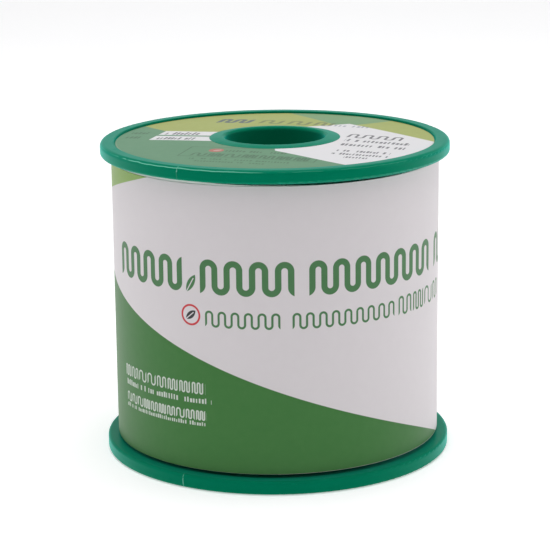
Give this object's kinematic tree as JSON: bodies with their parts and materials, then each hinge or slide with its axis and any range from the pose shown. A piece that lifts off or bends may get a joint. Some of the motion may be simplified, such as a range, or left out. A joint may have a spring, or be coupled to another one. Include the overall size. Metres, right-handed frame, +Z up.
{
  "type": "solder wire spool",
  "caption": "Moulded plastic reel with rimmed flanges and a through bore, wound full with solder wire under a paper wrap label, with a round face label.",
  "frame": {"origin": "centre of the lower flange's resting face", "axes": "+Z up along the spool's axis; -Y towards the front of the printed wrap label"},
  "size_m": [0.08, 0.08, 0.0728],
  "materials": {
    "reel_plastic": "semi-gloss moulded",
    "solder": "bright drawn",
    "clear_tape": "gloss",
    "liner_paper": "uncoated",
    "side_label_paper": "satin printed",
    "top_label_paper": "satin printed"
  },
  "bodies": {
    "root": {"reel": "reel_plastic", "solder_wire": "solder", "wire_end_tape": "clear_tape", "paper_liner": "liner_paper", "side_label": "side_label_paper", "top_label": "top_label_paper"}
  },
  "joints": []
}
